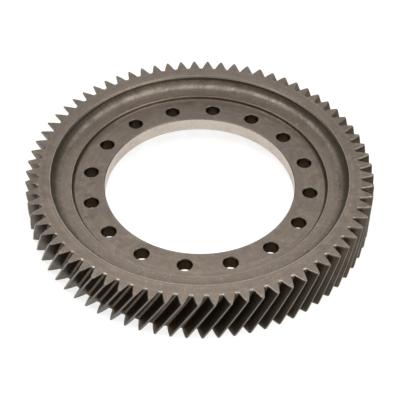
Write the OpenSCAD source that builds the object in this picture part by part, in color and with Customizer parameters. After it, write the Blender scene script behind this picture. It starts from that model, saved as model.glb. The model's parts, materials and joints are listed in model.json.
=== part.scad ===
// Helical ring gear of a final drive: a toothed rim, a recessed web and a drilled mounting flange.
// The gear axis is Z, the lower rim face lies at z = 0 and the first bolt hole is on +X.

/* [Teeth] */
// Number of teeth
teeth = 73; // [70:1:90]
// Helix angle on the pitch circle, right hand
helix_angle = 28; // [24:0.5:32]
// Pressure angle measured normal to the teeth
pressure_angle = 20; // [16:0.5:21]
// Tooth height above the pitch circle, in modules
addendum_share = 1.11; // [1.0:0.01:1.2]
// Tooth depth below the pitch circle, in modules
dedendum_share = 1.645; // [1.4:0.005:1.75]
// Tooth thickness on the pitch circle, as a share of the tooth pitch
thickness_share = 0.394; // [0.38:0.002:0.42]
// Radius of the fillet between flank and root
root_fillet_r = 1.1; // [0.5:0.1:1.3]
// Bevel along each flank where a tooth meets the rim faces
flank_bevel = 0.2; // [0.1:0.05:0.3]
// Bevel along each root where a gap meets the rim faces
root_bevel = 1.4; // [0.6:0.1:1.6]
// Depth of those bevels below the rim faces
bevel_depth = 0.6; // [0.4:0.1:1]
// Bevel around the outside edges of the rim
tip_bevel = 0.3; // [0.2:0.1:0.5]
// Angle from the first bolt hole to a tooth, at the upper face
tooth_clock = 0.75; // [0:0.05:4.9]

/* [Rim] */
// Width of the toothed rim along the axis
face_w = 34.5; // [30:0.5:42]
// Rim wall from the inside of the rim to the tooth roots
rim_wall = 10.7; // [9:0.1:12]
// Bevel on the inner edges of the rim
rim_bevel = 1.1; // [0.5:0.1:2]
// Radius of the cove between rim and web
cove_r = 5.5; // [3:0.5:6]

/* [Web and flange] */
// Depth of the upper flange face below the upper rim face
upper_recess = 12.1; // [10:0.1:13]
// Thickness of the flange that takes the bolts
flange_t = 11; // [8:0.5:12]
// Height of the upper web face above the flange
upper_step = 3.2; // [1.5:0.1:4]
// Width of the flange seat outside the bolt circle
seat_w = 10.6; // [8:0.1:12]
// Width of the web from the upper step to the inside of the rim
web_w = 13.8; // [11:0.1:18]
// Radius of the fillet at the foot of the upper step
seat_fillet_r = 1.6; // [0.8:0.1:2]
// Height of the lower web face above the flange underside
lower_step = 1; // [0.5:0.1:2]
// Bevel on the web corner at each step
step_bevel = 0.3; // [0.1:0.1:0.6]

/* [Bolt holes and bore] */
// Bolt circle diameter, from which the bore is set inwards and the rim and teeth outwards
bolt_circle_d = 160; // [120:1:200]
// Number of bolt holes
bolt_count = 16; // [6:1:20]
// Clearance hole for an M10 bolt
bolt_hole_d = 10.5; // [8:0.1:12]
// Countersink at both ends of each bolt hole
bolt_bevel = 0.6; // [0.2:0.1:1]
// Width of the flange inside the bolt circle, up to the bore that centres the gear
bore_margin = 11; // [9:0.5:20]
// Bevel at both ends of the bore
bore_bevel = 0.5; // [0.2:0.1:1.5]

/* [Hidden] */

// Straight steps along a flank, round a root fillet and along the helix
flank_steps = 3;
fillet_steps = 2;
helix_steps = 3;
// Straight steps round a cove or the seat fillet
cove_steps = 10;
// Sides of the turned body and of a bolt hole, where they are drawn as facets
turned_sides = 180;
hole_sides = 48;
// How far a cutter passes the surface that it cuts
overcut = 0.2;

// Radii of the turned section, from the bolt circle inwards and outwards
bolt_circle_r = bolt_circle_d / 2;
bore_r = bolt_circle_r - bore_margin;
seat_r = bolt_circle_r + seat_w;
step_r = seat_r + seat_fillet_r;
rim_r = step_r + web_w;
root_r = rim_r + rim_wall;

// Module normal to the teeth with which the teeth stand on the root circle
normal_module = root_r / (teeth / (2 * cos(helix_angle)) - dedendum_share);

// Gear geometry in the plane of rotation
pitch_r = root_r + dedendum_share * normal_module;
tip_r = pitch_r + addendum_share * normal_module;
transverse_angle = atan(tan(pressure_angle) / cos(helix_angle));
base_r = pitch_r * cos(transverse_angle);
outer_r = tip_r + overcut;
// Turn of the teeth for each millimetre along the axis, in degrees
twist = tan(helix_angle) / pitch_r * 180 / PI;

// Levels of the turned section
seat_z = face_w - upper_recess;
under_z = seat_z - flange_t;
web_top_z = seat_z + upper_step;
web_under_z = under_z + lower_step;

// Points of an arc about a centre, from one angle to another
function arc(c, r, a0, a1, steps) =
    [for (i = [0:steps]) let (a = a0 + (a1 - a0) * i / steps) c + r * [cos(a), sin(a)]];

// Involute function, in degrees
function involute(a) = tan(a) * 180 / PI - a;

// Pressure angle where the flank crosses a radius
function flank_angle(r) = r > base_r ? acos(base_r / r) : 0;

// Half of the gap between two teeth at a radius, in degrees
function half_gap(r) =
    let (half_tooth = thickness_share * 180 / teeth + involute(transverse_angle) - involute(flank_angle(r)))
    180 / teeth - half_tooth;

// One side of a gap from its root to past the tooth tip, widened by a flank and a root allowance
function gap_side(flank_extra, root_extra) =
    let (
        widen = flank_extra / base_r * 180 / PI,
        centre_r = root_r - root_extra + root_fillet_r,
        lean = flank_angle(centre_r),
        centre_a = half_gap(centre_r) + widen - root_fillet_r / (centre_r * cos(lean)) * 180 / PI,
        centre = centre_r * [cos(centre_a), sin(centre_a)],
        fillet = arc(centre, root_fillet_r, centre_a + 180, centre_a + 90 + lean, fillet_steps),
        start_r = norm(fillet[fillet_steps])
    )
    concat(fillet, [for (i = [1:flank_steps])
        let (r = start_r + (outer_r - start_r) * i / flank_steps, a = half_gap(r) + widen)
        r * [cos(a), sin(a)]]);

// Closed outline of a gap, symmetric about +X
function gap_outline(flank_extra, root_extra) =
    let (side = gap_side(flank_extra, root_extra), last = len(side) - 1)
    concat([for (i = [0:last]) [side[i].x, -side[i].y]], [for (i = [last:-1:0]) side[i]]);

// Heights of the cutter's sections: past both rim faces, at the bevels and evenly between them
section_z = concat(
    [-overcut],
    [for (i = [0:helix_steps]) bevel_depth + (face_w - 2 * bevel_depth) * i / helix_steps],
    [face_w + overcut]);
// Growth of the bevel allowance at a cutter's two ends
end_growth = (bevel_depth + overcut) / bevel_depth;

// Points of one section, turned with the helix
function section(i) =
    let (
        is_end = i == 0 || i == len(section_z) - 1,
        grow = is_end ? end_growth : 0,
        turn = (section_z[i] - face_w) * twist,
        outline = gap_outline(flank_bevel * grow, root_bevel * grow)
    )
    [for (p = outline) [
        p.x * cos(turn) - p.y * sin(turn),
        p.x * sin(turn) + p.y * cos(turn),
        section_z[i]]];

// Solid that removes the space between two teeth, with a bevel at each end
module tooth_gap() {
    n = len(gap_outline(0, 0));
    last = len(section_z) - 1;
    points = [for (i = [0:last]) each section(i)];
    sides = [for (i = [0:last - 1], j = [0:n - 1])
        let (a = i * n + j, b = i * n + (j + 1) % n)
        each [[a, a + n, b], [b, a + n, b + n]]];
    // Half of the points of a section, which pair up with the other half
    half = n / 2;
    ends = [for (j = [0:half - 2])
        let (a = j, b = j + 1, c = n - 2 - j, d = n - 1 - j, up = last * n)
        each [[a, b, c], [a, c, d], [up + a, up + c, up + b], [up + a, up + d, up + c]]];
    polyhedron(points, concat(sides, ends));
}

// Turned section on the right of the axis: flange, upper step, web, coves and rim
module blank_section() {
    lower_cove = arc([rim_r - cove_r, web_under_z - cove_r], cove_r, 90, 0, cove_steps);
    upper_cove = arc([rim_r - cove_r, web_top_z + cove_r], cove_r, 0, -90, cove_steps);
    seat_fillet = arc([seat_r, seat_z + seat_fillet_r], seat_fillet_r, 0, -90, cove_steps);
    polygon(concat(
        [[bore_r, under_z + bore_bevel], [bore_r + bore_bevel, under_z]],
        [[step_r, under_z], [step_r + lower_step, web_under_z]],
        lower_cove,
        [[rim_r, rim_bevel], [rim_r + rim_bevel, 0]],
        [[tip_r - tip_bevel, 0], [tip_r, tip_bevel]],
        [[tip_r, face_w - tip_bevel], [tip_r - tip_bevel, face_w]],
        [[rim_r + rim_bevel, face_w], [rim_r, face_w - rim_bevel]],
        upper_cove,
        [[step_r + step_bevel, web_top_z], [step_r, web_top_z - step_bevel]],
        seat_fillet,
        [[bore_r + bore_bevel, seat_z], [bore_r, seat_z - bore_bevel]]));
}

// Bolt hole with a countersink at each end, standing at the origin
module bolt_hole() {
    $fn = hole_sides;
    r = bolt_hole_d / 2;
    mouth = bolt_bevel + overcut;
    translate([0, 0, under_z - overcut]) cylinder(r = r, h = flange_t + 2 * overcut);
    translate([0, 0, seat_z - bolt_bevel]) cylinder(r1 = r, r2 = r + mouth, h = mouth);
    translate([0, 0, under_z - overcut]) cylinder(r1 = r + mouth, r2 = r, h = mouth);
}

// Turned blank with its bolt holes and tooth gaps cut away
module ring_gear() {
    color("#7d746a")
    difference() {
        rotate_extrude($fn = turned_sides) blank_section();
        for (i = [0:bolt_count - 1])
            rotate(i * 360 / bolt_count) translate([bolt_circle_r, 0, 0]) bolt_hole();
        for (i = [0:teeth - 1])
            rotate(tooth_clock + (i + 0.5) * 360 / teeth) tooth_gap();
    }
}

ring_gear();
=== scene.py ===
"""Helical ring gear in machined, hardened steel.

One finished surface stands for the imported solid. It lies on a plain floor in soft light.
"""

import json
import logging
import math
from dataclasses import dataclass, field
from enum import Enum
from typing import Any, Callable, Iterable

import bmesh
import bpy
from bmesh.types import BMEdge, BMesh, BMVert
from mathutils import Matrix, Vector


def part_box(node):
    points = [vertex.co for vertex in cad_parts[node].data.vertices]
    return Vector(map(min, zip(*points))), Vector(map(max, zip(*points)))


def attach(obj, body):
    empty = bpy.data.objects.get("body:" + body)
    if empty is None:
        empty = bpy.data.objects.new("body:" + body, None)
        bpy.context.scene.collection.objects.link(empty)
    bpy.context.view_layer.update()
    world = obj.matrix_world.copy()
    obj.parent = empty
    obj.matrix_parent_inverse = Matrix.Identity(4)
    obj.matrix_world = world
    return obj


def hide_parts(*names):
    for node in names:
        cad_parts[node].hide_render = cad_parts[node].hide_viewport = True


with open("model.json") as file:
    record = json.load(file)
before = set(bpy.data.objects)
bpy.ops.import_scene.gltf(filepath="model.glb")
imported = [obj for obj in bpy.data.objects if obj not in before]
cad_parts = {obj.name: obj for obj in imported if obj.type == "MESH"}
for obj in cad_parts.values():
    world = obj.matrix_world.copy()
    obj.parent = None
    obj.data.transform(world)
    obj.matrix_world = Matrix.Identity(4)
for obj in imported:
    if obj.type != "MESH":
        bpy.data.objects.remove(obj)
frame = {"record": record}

log = logging.getLogger("ring_gear")
MM = 0.001
NODE = "ring_gear"
BODY = "root"
ORIGIN = (0, 0, 0)
AXIS = (0, 0, 1)
FULL_TURN = 2 * math.pi

Colour = tuple[float, float, float]


def mount(name: str) -> dict[str, Any]:
    """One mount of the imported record.

    Args:
        name: the mount's name.

    Returns:
        The mount as the record holds it.
    """
    return next(m for m in frame["record"]["mounts"] if m["name"] == name)


def polar(radius: float, angle: float, height: float = 0.0) -> Vector:
    """Point at a radius, an angle in radians and a height."""
    return Vector((radius * math.cos(angle), radius * math.sin(angle), height))


def arc(centre: Vector, radius: float, start: float, end: float, steps: int) -> list[Vector]:
    """Points of an arc in a plane.

    Args:
        centre: centre of the arc.
        radius: its radius.
        start: first angle, in degrees.
        end: last angle, in degrees.
        steps: straight steps between the two.

    Returns:
        The arc's points, both ends included.
    """
    angles = [math.radians(start + (end - start) * i / steps) for i in range(steps + 1)]
    return [centre + radius * Vector((math.cos(a), math.sin(a))) for a in angles]


def chain(bm: BMesh, points: Iterable[Vector]) -> list[BMEdge]:
    """Open chain of edges through some points, in a mesh."""
    verts = [bm.verts.new(p) for p in points]
    return [bm.edges.new(pair) for pair in zip(verts, verts[1:])]


class Surface(Enum):
    """Surfaces that are finished in different ways, with the place of each one's material."""

    FACE = 0  # rim faces, flange seat and flange underside
    FLANK = 1  # tooth flanks and the roots between them, painted dark as shade in the tooth gaps
    LAND = 2  # tooth tips
    BEVEL = 3  # small bevels and countersinks
    COVE = 4  # curve between rim and web
    BORE = 5  # wall of the bore
    HOLE = 6  # walls of the bolt holes, painted near black as shade inside them
    WALL = 7  # inside of the rim above the cove, painted dark as shade
    STEP = 8  # step from the web down to the seat, with its fillet, painted dark as shade
    EDGE = 9  # worn edges of the rim and the step, painted near white as highlight lines
    WEB = 10  # web between cove and step
    BURR = 11  # outermost line round each tooth's end, worn and painted light as a highlight line


Run = tuple[Surface, list[Vector]]


@dataclass
class ToothForm:
    """Involute teeth on a right-hand helix, in millimetres and degrees."""

    teeth: int = 73
    root_r: float = 116.7
    helix: float = 28.0
    pressure: float = 20.0
    addendum_share: float = 1.11
    dedendum_share: float = 1.645
    thickness_share: float = 0.394
    fillet_r: float = 1.1
    fillet_steps: int = 5
    flank_steps: int = 6
    tip_round: float = 0.35
    tip_steps: int = 3
    flank_bevel: float = 0.32
    root_bevel: float = 1.4
    tip_bevel: float = 0.3
    bevel_depth: float = 0.6
    clock: float = 0.75
    helix_steps: int = 14

    def __post_init__(self) -> None:
        """Works out the circles in the plane of rotation."""
        helix = math.radians(self.helix)
        module = self.root_r / (self.teeth / (2 * math.cos(helix)) - self.dedendum_share)
        self.pitch_r = self.root_r + self.dedendum_share * module
        self.tip_r = self.pitch_r + self.addendum_share * module
        self.transverse = math.atan(math.tan(math.radians(self.pressure)) / math.cos(helix))
        self.base_r = self.pitch_r * math.cos(self.transverse)
        self.twist = math.tan(helix) / self.pitch_r
        self.half_pitch = math.pi / self.teeth

    def half_tooth(self, radius: float) -> float:
        """Half of the tooth's thickness.

        Args:
            radius: where it is measured.

        Returns:
            An angle about the gear's axis, in radians.
        """
        lean = math.acos(self.base_r / radius)
        swing = math.tan(self.transverse) - self.transverse - math.tan(lean) + lean
        return self.thickness_share * self.half_pitch + swing

    def flank_side(self, growth: float) -> list[Vector]:
        """One side of a tooth, from the middle of the gap to the middle of the tip.

        Args:
            growth: share of the end bevel that is cut away at this level, from 0 to 1.

        Returns:
            Points in the plane of rotation, with the tooth's middle on +X.
        """
        root = self.root_r - self.root_bevel * growth
        tip = self.tip_r - self.tip_bevel * growth
        shave = self.flank_bevel * growth / self.base_r
        centre_r = root + self.fillet_r
        lean = math.acos(self.base_r / centre_r)
        reach = self.fillet_r / (centre_r * math.cos(lean))
        centre_angle = self.half_tooth(centre_r) - shave + reach
        turn = math.degrees(centre_angle)
        fillet = arc(polar(centre_r, centre_angle).xy, self.fillet_r, turn + 180,
                     turn + 270 - math.degrees(lean), self.fillet_steps)
        foot = fillet[-1].length
        rise = tip - self.tip_round - foot
        radii = [foot + rise * i / self.flank_steps for i in range(1, self.flank_steps + 1)]
        flank = [polar(r, self.half_tooth(r) - shave).xy for r in radii]
        return [polar(root, self.half_pitch).xy, *fillet, *flank, *self.tip_corner(tip, shave)]

    def tip_corner(self, tip: float, shave: float) -> list[Vector]:
        """Rounded corner between flank and tip land, and the middle of the land.

        Args:
            tip: radius of the land at this level.
            shave: what the end bevel takes off the flank, as an angle in radians.

        Returns:
            Points in the plane of rotation, without the flank's last one.
        """
        top = tip - self.tip_round
        start = self.half_tooth(top) - shave
        inset = self.tip_round / tip
        points = []
        for i in range(1, self.tip_steps + 1):
            swing = math.pi / 2 * i / self.tip_steps
            angle = start - inset * (1 - math.cos(swing))
            points.append(polar(top + self.tip_round * math.sin(swing), angle).xy)
        return [*points, Vector((tip, 0))]

    def outline(self, growth: float) -> list[Vector]:
        """One whole tooth, from the middle of one gap to the middle of the next."""
        side = self.flank_side(growth)
        return [Vector((p.x, -p.y)) for p in side] + side[-2::-1]


@dataclass
class Blank:
    """Turned section of the gear, in millimetres."""

    face_w: float
    bore_r: float
    seat_z: float
    under_z: float
    rim_r: float
    rim_bevel: float = 1.1
    cove_r: float = 5.5
    seat_r: float = 90.6
    seat_fillet: float = 1.6
    upper_step: float = 3.2
    lower_step: float = 1.0
    step_bevel: float = 0.45
    bore_bevel: float = 0.5
    # Widths of the worn rim and step edges, which carry painted highlight lines
    worn_rim_highlight: float = 0.6
    worn_step_highlight: float = 0.4
    cove_steps: int = 10
    fillet_steps: int = 6

    def __post_init__(self) -> None:
        """Works out the radius of the step and the heights of the web."""
        self.step_r = self.seat_r + self.seat_fillet
        self.web_top = self.seat_z + self.upper_step
        self.web_under = self.under_z + self.lower_step

    def upper(self) -> list[Run]:
        """Upper side from the rim face down to the flange seat.

        Returns:
            Surfaces with their points in (radius, height).
        """
        rim = [Vector((self.rim_r + self.rim_bevel, self.face_w)),
               Vector((self.rim_r, self.face_w - self.rim_bevel))]
        cove = arc(Vector((self.rim_r - self.cove_r, self.web_top + self.cove_r)),
                   self.cove_r, 0, -90, self.cove_steps)
        corner = [Vector((self.step_r + self.step_bevel, self.web_top)),
                  Vector((self.step_r, self.web_top - self.step_bevel))]
        fillet = arc(Vector((self.seat_r, self.seat_z + self.seat_fillet)),
                     self.seat_fillet, 0, -90, self.fillet_steps)
        # Thin strips beside the rim bevel and the step bevel: worn edges painted near white as
        # highlight lines
        rim_highlight_edge = rim[0] + Vector((self.worn_rim_highlight, 0))
        step_highlight_edge = corner[0] + Vector((self.worn_step_highlight, 0))
        return [(Surface.EDGE, [rim_highlight_edge, rim[0]]),
                (Surface.BEVEL, rim),
                (Surface.WALL, [rim[1], cove[0]]),
                (Surface.COVE, cove),
                (Surface.WEB, [cove[-1], step_highlight_edge]),
                (Surface.EDGE, [step_highlight_edge, corner[0]]),
                (Surface.BEVEL, corner),
                (Surface.STEP, [corner[1], *fillet])]

    def lower(self) -> list[Run]:
        """Lower side from the flange underside out to the rim face.

        Returns:
            Surfaces with their points in (radius, height).
        """
        step = [Vector((self.step_r, self.under_z)),
                Vector((self.step_r + self.lower_step, self.web_under))]
        cove = arc(Vector((self.rim_r - self.cove_r, self.web_under - self.cove_r)),
                   self.cove_r, 90, 0, self.cove_steps)
        rim = [Vector((self.rim_r, self.rim_bevel)),
               Vector((self.rim_r + self.rim_bevel, 0))]
        return [(Surface.BEVEL, step),
                (Surface.WEB, [step[1], cove[0]]),
                (Surface.COVE, [*cove, rim[0]]),
                (Surface.BEVEL, rim)]

    def bore(self) -> list[Run]:
        """Bore wall with its two bevels, from the seat down to the underside.

        Returns:
            Surfaces with their points in (radius, height).
        """
        top = [Vector((self.bore_r + self.bore_bevel, self.seat_z)),
               Vector((self.bore_r, self.seat_z - self.bore_bevel))]
        foot = [Vector((self.bore_r, self.under_z + self.bore_bevel)),
                Vector((self.bore_r + self.bore_bevel, self.under_z))]
        return [(Surface.BEVEL, top), (Surface.BORE, [top[1], foot[0]]), (Surface.BEVEL, foot)]


@dataclass
class BoltRing:
    """Ring of countersunk bolt holes, in millimetres."""

    count: int
    circle_r: float
    hole_r: float
    countersink: float = 0.4
    lower_countersink: float = 0.15
    sides: int = 48

    def levels(self, blank: Blank) -> list[tuple[float, float, Surface]]:
        """Rings of a hole from the seat down.

        Args:
            blank: section that the holes go through.

        Returns:
            Radius and height of each ring, with the surface above it.
        """
        top, foot = self.countersink, self.lower_countersink
        return [(self.hole_r + top, blank.seat_z, Surface.BEVEL),
                (self.hole_r, blank.seat_z - top, Surface.BEVEL),
                (self.hole_r, blank.under_z + foot, Surface.HOLE),
                (self.hole_r + foot, blank.under_z, Surface.BEVEL)]


class GearMesh:
    """Builds the gear's whole surface as one closed mesh, in millimetres, and then in metres."""

    # Steps of the turned section round the axis, for each tooth
    TURNED_PER_TOOTH = 4
    # Levels of a tooth's end bevel: its depth in bevel depths, and the share that is cut away there
    LEVELS = ((0.0, 1.0), (0.18, 0.6), (0.5, 0.32), (0.88, 0.1), (1.3, 0.0))
    # Share cut away above which an end bevel is the painted highlight line round the tooth
    HIGHLIGHT_GROWTH = 0.9
    # Share of the rounded tip corner, from the tip down, that is finished as the land
    LAND_SHARE = 0.4
    # Points closer than this are one, and a ring this close to a height lies on it
    WELD = 0.002
    # How far past its nominal radius a flat face still looks for its rings
    MARGIN = 0.1
    # Angle between two faces from which their edge is sharp
    CORNER = math.radians(32)

    def __init__(self, teeth: ToothForm, blank: Blank, bolts: BoltRing) -> None:
        """Keeps the three forms that the mesh is made from.

        Args:
            teeth: form of the teeth.
            blank: turned section.
            bolts: ring of bolt holes.
        """
        self.teeth = teeth
        self.blank = blank
        self.bolts = bolts
        self.bm: BMesh = bmesh.new()

    def take_in(self, part: BMesh) -> None:
        """Adds a part that was made in a mesh of its own, and frees it.

        Args:
            part: the part's mesh.
        """
        carrier = bpy.data.meshes.new("part")
        part.to_mesh(carrier)
        part.free()
        self.bm.from_mesh(carrier)
        bpy.data.meshes.remove(carrier)

    def paint(self, geometry: Iterable[Any], surface: Surface) -> None:
        """Marks the faces among some geometry as one surface.

        Args:
            geometry: vertices, edges and faces.
            surface: what the faces are.
        """
        for item in geometry:
            if isinstance(item, bmesh.types.BMFace):
                item.material_index = surface.value

    def weld(self) -> None:
        """Joins the points that lie on each other."""
        bmesh.ops.remove_doubles(self.bm, verts=self.bm.verts[:], dist=self.WELD)

    def repeat(self, geometry: list[Any], count: int) -> None:
        """Copies some geometry evenly round the axis.

        Args:
            geometry: vertices, edges and faces of the first one.
            count: how many there are in the end.
        """
        bmesh.ops.spin(self.bm, geom=geometry, axis=AXIS, cent=ORIGIN,
                       angle=FULL_TURN * (count - 1) / count, steps=count - 1, use_duplicate=True)

    def end_rings(self, edges: list[BMEdge], order: list[BMVert], top: bool) -> None:
        """Extrudes a tooth's outline to a rim face, through the levels of its end bevel.

        Args:
            edges: the outline's edges at the nominal form.
            order: its vertices in order.
            top: whether this is the upper rim face.
        """
        depth = self.teeth.bevel_depth
        for share, growth in reversed(self.LEVELS[:-1]):
            grown = bmesh.ops.extrude_edge_only(self.bm, edges=edges)["geom"]
            fresh = {v for v in grown if isinstance(v, BMVert)}
            edges = [e for e in grown if isinstance(e, BMEdge) and set(e.verts) <= fresh]
            # The outermost bevel strip is painted light as a highlight line, the rest as plain
            # bevel
            self.paint(grown, Surface.BURR if growth > self.HIGHLIGHT_GROWTH else Surface.BEVEL)
            order = [next(e.other_vert(v) for e in v.link_edges if e.other_vert(v) in fresh)
                     for v in order]
            height = self.blank.face_w - share * depth if top else share * depth
            turn = Matrix.Rotation((height - self.blank.face_w) * self.teeth.twist, 3, "Z")
            for vert, point in zip(order, self.teeth.outline(growth)):
                vert.co = turn @ Vector((point.x, point.y, height))

    def tooth_surfaces(self) -> None:
        """Marks the faces of one tooth's helical run as flank or tip land by their radius."""
        edge = self.teeth.tip_r - self.teeth.tip_round * self.LAND_SHARE
        for f in self.bm.faces:
            middle = sum(v.co.xy.length for v in f.verts) / len(f.verts)
            f.material_index = (Surface.LAND if middle > edge else Surface.FLANK).value

    def toothing(self) -> None:
        """One tooth swept along the helix, with its end bevels, and repeated round the rim."""
        teeth, width = self.teeth, self.blank.face_w
        inset = self.LEVELS[-1][0] * teeth.bevel_depth
        start = Matrix.Rotation((inset - width) * teeth.twist, 3, "Z")
        outline = [start @ Vector((p.x, p.y, inset)) for p in teeth.outline(0.0)]
        first = chain(self.bm, outline)
        lower = [first[0].verts[0], *(e.verts[1] for e in first)]
        run = width - 2 * inset
        swept = bmesh.ops.spin(self.bm, geom=first, axis=AXIS, cent=ORIGIN, angle=run * teeth.twist,
                               dvec=(0, 0, run / teeth.helix_steps), steps=teeth.helix_steps)
        last = [e for e in swept["geom_last"] if isinstance(e, BMEdge)]
        self.tooth_surfaces()
        self.end_rings(last, self.in_order(last), top=True)
        self.end_rings(first, lower, top=False)
        clock = Matrix.Rotation(math.radians(teeth.clock), 3, "Z")
        bmesh.ops.rotate(self.bm, verts=self.bm.verts[:], matrix=clock)
        self.repeat(self.bm.verts[:] + self.bm.edges[:] + self.bm.faces[:], teeth.teeth)
        self.weld()

    def in_order(self, edges: list[BMEdge]) -> list[BMVert]:
        """Vertices of an open chain of edges.

        Args:
            edges: the chain's edges in any order.

        Returns:
            Its vertices, from its clockwise end to its other end.
        """
        def turn(v: BMVert) -> float:
            """Angle of a vertex about the gear's axis."""
            return math.atan2(v.co.y, v.co.x)

        left = set(edges)
        ends = [v for e in edges for v in e.verts if sum(x in left for x in v.link_edges) == 1]
        order = [min(ends, key=turn)]
        while left:
            step = next(e for e in order[-1].link_edges if e in left)
            left.remove(step)
            order.append(step.other_vert(order[-1]))
        return order

    def turned(self, runs: list[Run]) -> None:
        """Spins runs of a section round the axis.

        Args:
            runs: each surface with its points in (radius, height).
        """
        steps = self.TURNED_PER_TOOTH * self.teeth.teeth
        for surface, points in runs:
            ring = bmesh.new()
            edges = chain(ring, (Vector((p.x, 0, p.y)) for p in points))
            bmesh.ops.spin(ring, geom=edges, axis=AXIS, cent=ORIGIN, angle=FULL_TURN, steps=steps,
                           use_merge=True)
            self.paint(ring.faces, surface)
            self.take_in(ring)

    def bolt_holes(self) -> None:
        """One hole from its upper to its lower countersink, and its copies round the flange."""
        ring = self.bolts
        levels = ring.levels(self.blank)
        mouth, height, _ = levels[0]
        place = Matrix.Translation((ring.circle_r, 0, height))
        centre = Matrix.Translation((-ring.circle_r, 0, 0))
        made = bmesh.ops.create_circle(self.bm, cap_ends=False, segments=ring.sides, radius=mouth,
                                       matrix=place)
        edges = list(dict.fromkeys(e for v in made["verts"] for e in v.link_edges))
        geometry: list[Any] = [*made["verts"], *edges]
        for (above, top, _), (below, foot, surface) in zip(levels, levels[1:]):
            grown = bmesh.ops.extrude_edge_only(self.bm, edges=edges)["geom"]
            verts = [v for v in grown if isinstance(v, BMVert)]
            edges = [e for e in grown if isinstance(e, BMEdge) and set(e.verts) <= set(verts)]
            share = below / above
            bmesh.ops.scale(self.bm, verts=verts, vec=(share, share, 1), space=centre)
            bmesh.ops.translate(self.bm, verts=verts, vec=(0, 0, foot - top))
            self.paint(grown, surface)
            geometry += grown
        geometry += [e for g in geometry if isinstance(g, BMVert) for e in g.link_edges]
        self.repeat(list(dict.fromkeys(geometry)), ring.count)

    def flat(self, height: float, borders: Callable[[float], bool]) -> None:
        """Fills a flat face between all open rings at a height.

        Args:
            height: height of the face.
            borders: says whether a ring at a radius borders this face.
        """
        rings = [e for e in self.bm.edges if e.is_boundary and all(
            abs(v.co.z - height) < self.WELD and borders(v.co.xy.length) for v in e.verts)]
        made = bmesh.ops.triangle_fill(self.bm, use_beauty=False, use_dissolve=False, edges=rings)
        self.paint(made["geom"], Surface.FACE)

    def crease(self) -> None:
        """Shades the flat faces flat and the rest smooth, with a sharp edge at each real corner."""
        flat = Surface.FACE.value
        for f in self.bm.faces:
            f.smooth = f.material_index != flat
        for e in self.bm.edges:
            kinds = {f.material_index for f in e.link_faces}
            meets_flat = flat in kinds and len(kinds) > 1
            e.smooth = not meets_flat and e.calc_face_angle(math.pi) < self.CORNER

    def build(self) -> bpy.types.Mesh:
        """Makes all surfaces and closes them.

        Returns:
            The whole surface, in metres.
        """
        blank = self.blank
        self.toothing()
        self.turned(blank.upper() + blank.lower() + blank.bore())
        self.bolt_holes()
        self.weld()
        self.flat(blank.face_w, lambda r: r > blank.rim_r)
        self.flat(0.0, lambda r: r > blank.rim_r)
        self.flat(blank.seat_z, lambda r: r < blank.seat_r + self.MARGIN)
        self.flat(blank.under_z, lambda r: r < blank.step_r + self.MARGIN)
        bmesh.ops.recalc_face_normals(self.bm, faces=self.bm.faces[:])
        loose = sum(1 for e in self.bm.edges if len(e.link_faces) != 2)
        volume = self.bm.calc_volume(signed=True)
        log.info("surface: %d faces, %d edges without two faces, volume %.0f cubic mm",
                 len(self.bm.faces), loose, volume)
        self.crease()
        bmesh.ops.scale(self.bm, verts=self.bm.verts[:], vec=(MM, MM, MM))
        mesh = bpy.data.meshes.new("gear_surface")
        self.bm.to_mesh(mesh)
        self.bm.free()
        return mesh


class Sock:
    """Output socket that takes part in arithmetic, each step of which adds a Math node."""

    def __init__(self, graph: "Graph", socket: bpy.types.NodeSocket) -> None:
        """Keeps the socket and the graph that it belongs to."""
        self.graph = graph
        self.socket = socket

    def _math(self, operation: str, *values: Any) -> "Sock":
        """Math node on some values, as a socket."""
        return self.graph.node("ShaderNodeMath", {"operation": operation}, dict(enumerate(values)))

    def __add__(self, other: Any) -> "Sock":
        """Sum."""
        return self._math("ADD", self, other)

    def __radd__(self, other: Any) -> "Sock":
        """Sum with a number first."""
        return self._math("ADD", other, self)

    def __sub__(self, other: Any) -> "Sock":
        """Difference."""
        return self._math("SUBTRACT", self, other)

    def __rsub__(self, other: Any) -> "Sock":
        """Difference from a number."""
        return self._math("SUBTRACT", other, self)

    def __mul__(self, other: Any) -> "Sock":
        """Product."""
        return self._math("MULTIPLY", self, other)

    def __rmul__(self, other: Any) -> "Sock":
        """Product with a number first."""
        return self._math("MULTIPLY", other, self)

    def root(self) -> "Sock":
        """Square root."""
        return self._math("SQRT", self)

    def between(self, low: float, high: float) -> "Sock":
        """Smooth, clamped step.

        Args:
            low: value up to which the step is 0.
            high: value from which it is 1.

        Returns:
            The step.
        """
        return self.graph.node("ShaderNodeMapRange",
                               {"interpolation_type": "SMOOTHSTEP", "clamp": True},
                               {"Value": self, "From Min": low, "From Max": high})


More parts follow.
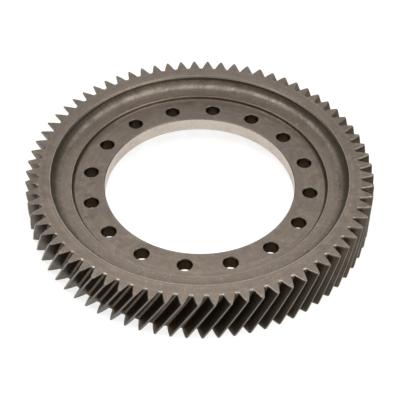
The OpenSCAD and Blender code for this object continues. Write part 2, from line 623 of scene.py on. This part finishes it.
class Graph:
    """Node graph of one material."""

    # Places of factor, first and second colour on a Mix node, and of its colour output
    MIX_INPUTS = (0, 6, 7)
    MIX_OUTPUT = 2

    def __init__(self, name: str) -> None:
        """Makes the material with its shader and output.

        Args:
            name: the material's name.
        """
        self.material = bpy.data.materials.new(name)
        self.material.use_nodes = True
        self.tree = self.material.node_tree
        self.shader = next(n for n in self.tree.nodes if n.type == "BSDF_PRINCIPLED")

    def add(self, kind: str, settings: dict[str, Any], values: dict[Any, Any]) -> bpy.types.Node:
        """Adds one node.

        Args:
            kind: the node's type.
            settings: attributes, set before the sockets.
            values: a value or a Sock for each input, by name or place.

        Returns:
            The node.
        """
        made = self.tree.nodes.new(kind)
        for key, value in settings.items():
            setattr(made, key, value)
        for key, value in values.items():
            self.feed(made.inputs[key], value)
        return made

    def node(self, kind: str, settings: dict[str, Any], values: dict[Any, Any],
             output: str | int = 0) -> Sock:
        """One output, by name or place, of a new node."""
        return Sock(self, self.add(kind, settings, values).outputs[output])

    def feed(self, socket: bpy.types.NodeSocket, value: Any) -> None:
        """Links a Sock to an input, or sets the input to a constant.

        Args:
            socket: the input.
            value: a Sock or a constant.
        """
        if isinstance(value, Sock):
            self.tree.links.new(value.socket, socket)
        else:
            socket.default_value = value

    def set(self, **values: Any) -> None:
        """Feeds the shader's own sockets, with underscores for spaces in their names."""
        for key, value in values.items():
            self.feed(self.shader.inputs[key.replace("_", " ")], value)

    def place(self) -> Sock:
        """Point on the piece, in metres."""
        return self.node("ShaderNodeTexCoord", {}, {}, "Object")

    def noise(self, vector: Sock, scale: float, detail: float, roughness: float = 0.55,
              warp: float = 0.0) -> Sock:
        """Noise between about 0 and 1.

        Args:
            vector: point where it is read.
            scale: size, in cells for each metre.
            detail: number of finer layers.
            roughness: strength of those layers.
            warp: how far the pattern is drawn out of shape.

        Returns:
            The noise's value.
        """
        return self.node("ShaderNodeTexNoise", {"noise_dimensions": "3D"},
                         {"Vector": vector, "Scale": scale, "Detail": detail,
                          "Roughness": roughness, "Distortion": warp}, "Fac")

    def rings(self, along: Sock, scale: float, detail: float) -> Sock:
        """Noise that changes along one coordinate only, as tool marks do."""
        return self.node("ShaderNodeTexNoise", {"noise_dimensions": "1D"},
                         {"W": along, "Scale": scale, "Detail": detail}, "Fac")

    def mix(self, share: Any, first: Any, second: Any) -> Sock:
        """Colour mix of two colours."""
        values = dict(zip(self.MIX_INPUTS, (share, first, second)))
        return self.node("ShaderNodeMix", {"data_type": "RGBA"}, values, self.MIX_OUTPUT)


class MarkPath(Enum):
    """Direction in which a surface's tool marks are spaced."""

    RADIUS = "radius"
    HEIGHT = "height"


@dataclass(frozen=True)
class NoiseLayer:
    """Noise of which only the values above a threshold show."""

    scale: float
    detail: float
    roughness: float
    low: float
    high: float
    warp: float = 0.0

    def build(self, graph: Graph, place: Sock) -> Sock:
        """Mask from 0 where the layer doesn't show to 1 where it shows in full."""
        noise = graph.noise(place, self.scale, self.detail, self.roughness, self.warp)
        return noise.between(self.low, self.high)


@dataclass(frozen=True)
class SteelTexture:
    """Texture that all finishes share: scales in cells for each metre, depths in metres."""

    broad: NoiseLayer = NoiseLayer(45.0, 5.0, 0.65, 0.33, 0.7, warp=0.8)
    patch: NoiseLayer = NoiseLayer(190.0, 5.0, 0.7, 0.38, 0.7, warp=0.5)
    fleck: NoiseLayer = NoiseLayer(480.0, 3.0, 0.6, 0.56, 0.7)
    wipe: NoiseLayer = NoiseLayer(85.0, 5.0, 0.7, 0.55, 0.72, warp=1.5)
    speck: NoiseLayer = NoiseLayer(900.0, 2.0, 0.5, 0.62, 0.75)
    mark_detail: float = 3.0
    band_detail: float = 2.0
    band_scale: float = 0.16
    band_range: tuple[float, float] = (0.45, 0.75)
    band_light: float = 0.25
    larger_share: float = 0.6
    smaller_share: float = 0.4
    darken: float = 0.35
    lighten: float = 1.35
    mark_middle: float = 0.5
    mark_roughness: float = 0.08
    grain_scale: float = 2600.0
    grain_detail: float = 2.0
    speck_depth: float = 0.5
    bump_strength: float = 0.35
    bump_distance: float = 0.00012


@dataclass(frozen=True)
class SteelFinish:
    """One finish of the gear's steel."""

    name: str
    colour: Colour
    stain: Colour
    roughness: tuple[float, float]
    marks: MarkPath = MarkPath.RADIUS
    mark_scale: float = 1400.0
    mark_depth: float = 0.25
    smudge: float = 0.5
    speckle: float = 0.2
    grain: float = 0.3
    fleck: float = 0.25
    wipe: float = 0.2
    edge_tint: Colour = (1.0, 1.0, 1.0)
    texture: SteelTexture = SteelTexture()

    def coordinate(self, graph: Graph, place: Sock) -> Sock:
        """Distance along which the tool marks are spaced.

        Args:
            graph: the material's graph.
            place: point on the piece.

        Returns:
            The point's height, or its distance from the gear's axis.
        """
        split = graph.add("ShaderNodeSeparateXYZ", {}, {0: place})
        x, y, z = (Sock(graph, o) for o in split.outputs)
        return z if self.marks is MarkPath.HEIGHT else (x * x + y * y).root()

    def build(self) -> bpy.types.Material:
        """Makes the material.

        Returns:
            Blender's material, with smudges, stains, specks and tool marks.
        """
        look = self.texture
        graph = Graph(self.name)
        place = graph.place()
        along = self.coordinate(graph, place)
        layers = (look.broad, look.patch, look.fleck, look.wipe, look.speck)
        broad, patch, fleck, wipe, speck = (layer.build(graph, place) for layer in layers)
        marks = graph.rings(along, self.mark_scale, look.mark_detail)
        bands = graph.rings(along, self.mark_scale * look.band_scale, look.band_detail)

        dark = (*(c * look.darken for c in self.stain), 1.0)
        light = (*(min(1.0, c * look.lighten) for c in self.colour), 1.0)
        cover = (broad * look.larger_share + patch * look.smaller_share) * self.smudge
        tone = graph.mix(cover, (*self.colour, 1.0), (*self.stain, 1.0))
        tone = graph.mix(speck * self.speckle, tone, dark)
        bright = bands.between(*look.band_range) * look.band_light + fleck * self.fleck
        tone = graph.mix(bright, tone, light)
        tone = graph.mix(wipe * self.wipe, tone, light)

        low, high = self.roughness
        worn = patch * look.larger_share + broad * look.smaller_share
        rough = low + (high - low) * worn + (marks - look.mark_middle) * look.mark_roughness

        grain = graph.noise(place, look.grain_scale, look.grain_detail)
        height = marks * self.mark_depth + grain * self.grain - speck * look.speck_depth
        bump = graph.node("ShaderNodeBump", {}, {
            "Strength": look.bump_strength, "Distance": look.bump_distance, "Height": height})
        graph.set(Base_Color=tone, Roughness=rough, Metallic=1.0,
                  Specular_Tint=(*self.edge_tint, 1.0), Normal=bump)
        return graph.material


FINISHES: dict[Surface, SteelFinish] = {
    Surface.FACE: SteelFinish(
        "turned_face", colour=(0.525, 0.436, 0.365), stain=(0.27, 0.214, 0.169),
        roughness=(0.33, 0.5), mark_depth=0.4, smudge=0.62, speckle=0.22, fleck=0.45, wipe=0.45),
    # Dark steel, darkened further with painted shade of the deep gaps between the teeth; the edge
    # tint dims their grazing reflection
    Surface.FLANK: SteelFinish(
        "tooth_flank", colour=(0.108, 0.087, 0.066), stain=(0.052, 0.041, 0.031),
        roughness=(0.3, 0.45), mark_scale=2600.0, edge_tint=(0.74, 0.71, 0.68)),
    Surface.LAND: SteelFinish(
        "tip_land", colour=(0.155, 0.14, 0.122), stain=(0.1, 0.087, 0.076),
        roughness=(0.32, 0.45), marks=MarkPath.HEIGHT),
    Surface.BEVEL: SteelFinish(
        "bright_bevel", colour=(0.26, 0.227, 0.192), stain=(0.17, 0.146, 0.121),
        roughness=(0.38, 0.5)),
    Surface.COVE: SteelFinish(
        "cove", colour=(0.32, 0.279, 0.233), stain=(0.145, 0.123, 0.097),
        roughness=(0.5, 0.64), smudge=0.85, speckle=0.8, grain=0.9, fleck=0.8),
    Surface.BORE: SteelFinish(
        "bore_wall", colour=(0.52, 0.457, 0.4), stain=(0.4, 0.345, 0.297),
        roughness=(0.3, 0.42), marks=MarkPath.HEIGHT, smudge=0.8),
    # Nearly black colour and dark edge tint: painted shade inside the bolt holes
    Surface.HOLE: SteelFinish(
        "hole_wall", colour=(0.033, 0.025, 0.018), stain=(0.014, 0.01, 0.007),
        roughness=(0.34, 0.46), marks=MarkPath.HEIGHT, edge_tint=(0.55, 0.46, 0.38)),
    # Same turned steel as the face, painted dark as the shade on the inner rim wall
    Surface.WALL: SteelFinish(
        "rim_wall", colour=(0.17, 0.136, 0.104), stain=(0.09, 0.071, 0.052),
        roughness=(0.4, 0.54), marks=MarkPath.HEIGHT),
    # Same turned steel as the web, painted dark as the shade on the step
    Surface.STEP: SteelFinish(
        "step_wall", colour=(0.175, 0.14, 0.107), stain=(0.09, 0.071, 0.052),
        roughness=(0.4, 0.54), marks=MarkPath.HEIGHT),
    Surface.WEB: SteelFinish(
        "web_face", colour=(0.49, 0.408, 0.342), stain=(0.255, 0.202, 0.16),
        roughness=(0.36, 0.52), mark_depth=0.4, smudge=0.8, speckle=0.6, grain=0.6, fleck=0.7),
    # Lighter than the bevel: a worn edge with a painted highlight line round each tooth's end
    Surface.BURR: SteelFinish(
        "tooth_end_edge", colour=(0.52, 0.457, 0.394), stain=(0.25, 0.212, 0.175),
        roughness=(0.32, 0.45), smudge=0.9),
    # Near-white colour: worn steel with a painted highlight that shows under any lamp
    Surface.EDGE: SteelFinish(
        "worn_edge", colour=(0.9, 0.8, 0.71), stain=(0.45, 0.375, 0.31),
        roughness=(0.34, 0.5), smudge=1.0, speckle=0.3),
}


@dataclass
class RingGear:
    """The finished gear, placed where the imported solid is, in millimetres."""

    teeth: ToothForm = field(default_factory=ToothForm)
    rim_wall: float = 10.7

    def blank(self) -> Blank:
        """Turned section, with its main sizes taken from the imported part.

        Returns:
            The section from the bore out to the tooth roots.
        """
        low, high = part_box(NODE)
        return Blank(face_w=(high.z - low.z) / MM,
                     bore_r=mount("bore")["dims"]["r_mm"],
                     seat_z=mount("flange_upper_face")["pos_m"][2] / MM,
                     under_z=mount("flange_lower_face")["pos_m"][2] / MM,
                     rim_r=self.teeth.root_r - self.rim_wall)

    def bolts(self) -> BoltRing:
        """Bolt holes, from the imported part's pattern."""
        dims = mount("flange_bolts")["dims"]
        return BoltRing(dims["count"], circle_r=dims["pcd_mm"] / 2, hole_r=dims["hole_r_mm"])

    def build(self) -> bpy.types.Object:
        """Makes the piece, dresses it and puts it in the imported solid's place.

        Returns:
            The finished piece.
        """
        mesh = GearMesh(self.teeth, self.blank(), self.bolts()).build()
        piece = bpy.data.objects.new("ring_gear_finished", mesh)
        bpy.context.scene.collection.objects.link(piece)
        for surface in Surface:
            mesh.materials.append(FINISHES[surface].build())
        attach(piece, BODY)
        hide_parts(NODE)
        return piece


@dataclass(frozen=True)
class PhotoCamera:
    """Camera that looks at the gear as the photograph does, in millimetres and degrees."""

    azimuth: float = 276.93
    distance: float = 570.68
    height: float = 588.55
    look_down: float = 45.692
    pan: float = 0.03
    roll: float = -0.512
    lens: float = 99.55
    sensor: float = 36.0

    def build(self) -> bpy.types.Object:
        """Makes the camera and sets it as the scene's own.

        Returns:
            The camera.
        """
        azimuth, tilt = math.radians(self.azimuth), math.radians(self.look_down)
        heading = azimuth + math.pi - math.radians(self.pan)
        forward = polar(math.cos(tilt), heading, -math.sin(tilt))
        right = polar(1.0, heading - math.pi / 2)
        turn = Matrix.Rotation(math.radians(self.roll), 3, forward)
        right, up = turn @ right, turn @ right.cross(forward)
        axes = Matrix((right, up, -forward)).transposed().to_4x4()
        place = Matrix.Translation(polar(self.distance, azimuth, self.height) * MM)
        data = bpy.data.cameras.new("camera")
        data.lens, data.sensor_width = self.lens, self.sensor
        camera = bpy.data.objects.new("camera", data)
        camera.matrix_world = place @ axes
        bpy.context.scene.collection.objects.link(camera)
        bpy.context.scene.camera = camera
        return camera


@dataclass(frozen=True)
class Softbox:
    """Large soft lamp that faces the gear, in metres, degrees and watts."""

    name: str
    azimuth: float
    elevation: float
    distance: float
    size: tuple[float, float]
    power: float

    def build(self) -> bpy.types.Object:
        """Makes the lamp at its place, facing the gear's middle.

        Returns:
            The lamp.
        """
        data = bpy.data.lights.new(self.name, "AREA")
        data.shape = "RECTANGLE"
        data.size, data.size_y = self.size
        data.energy = self.power
        lamp = bpy.data.objects.new(self.name, data)
        azimuth, rise = math.radians(self.azimuth), math.radians(self.elevation)
        place = polar(self.distance * math.cos(rise), azimuth, self.distance * math.sin(rise))
        facing = place.to_track_quat("Z", "Y").to_matrix().to_4x4()
        lamp.matrix_world = Matrix.Translation(place) @ facing
        bpy.context.scene.collection.objects.link(lamp)
        return lamp


@dataclass
class Studio:
    """Plain pale floor, even light from the air and soft lamps."""

    floor_size: float = 60.0
    floor_colour: Colour = (0.35, 0.35, 0.348)
    floor_roughness: float = 0.9
    floor_glow: float = 0.8
    glow_colour: Colour = (1.0, 1.0, 1.0)
    air: Colour = (0.02, 0.02, 0.02)
    lamps: tuple[Softbox, ...] = (
        Softbox("top", azimuth=276.0, elevation=88.0, distance=1.9, size=(2.5, 2.5), power=22.0),
        Softbox("left", azimuth=190.0, elevation=58.0, distance=1.8, size=(1.0, 1.0), power=10.5),
        Softbox("right", azimuth=5.0, elevation=58.0, distance=1.8, size=(1.0, 1.0), power=7.6),
        Softbox("rear", azimuth=97.0, elevation=22.0, distance=2.0, size=(1.8, 0.6), power=3.8),
        Softbox("front", azimuth=284.0, elevation=12.5, distance=2.0, size=(2.2, 0.7), power=5.4),
        Softbox("key", azimuth=325.0, elevation=36.0, distance=1.6, size=(0.8, 0.6), power=3.8),
    )

    def floor(self) -> bpy.types.Object:
        """Makes the floor that the gear lies on.

        Returns:
            The floor.
        """
        bm = bmesh.new()
        bmesh.ops.create_grid(bm, x_segments=1, y_segments=1, size=self.floor_size / 2)
        mesh = bpy.data.meshes.new("floor")
        bm.to_mesh(mesh)
        bm.free()
        floor = bpy.data.objects.new("floor", mesh)
        bpy.context.scene.collection.objects.link(floor)
        graph = Graph("floor_paper")
        graph.set(Base_Color=(*self.floor_colour, 1.0), Roughness=self.floor_roughness,
                  Emission_Color=(*self.glow_colour, 1.0), Emission_Strength=self.floor_glow)
        mesh.materials.append(graph.material)
        return floor

    def build(self) -> None:
        """Makes the floor, the air's even light and the lamps."""
        self.floor()
        world = bpy.data.worlds.new("air")
        world.use_nodes = True
        world.node_tree.nodes["Background"].inputs["Color"].default_value = (*self.air, 1.0)
        bpy.context.scene.world = world
        bpy.context.scene.view_settings.view_transform = "Standard"
        for lamp in self.lamps:
            lamp.build()


def main() -> None:
    """Builds the camera, the studio and the gear."""
    logging.basicConfig(level=logging.INFO, format="%(name)s: %(message)s")
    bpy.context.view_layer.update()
    PhotoCamera().build()
    Studio().build()
    piece = RingGear().build()
    log.info("%s: %d faces, %d finishes",
             piece.name, len(piece.data.polygons), len(piece.data.materials))


if __name__ == "__main__":
    main()
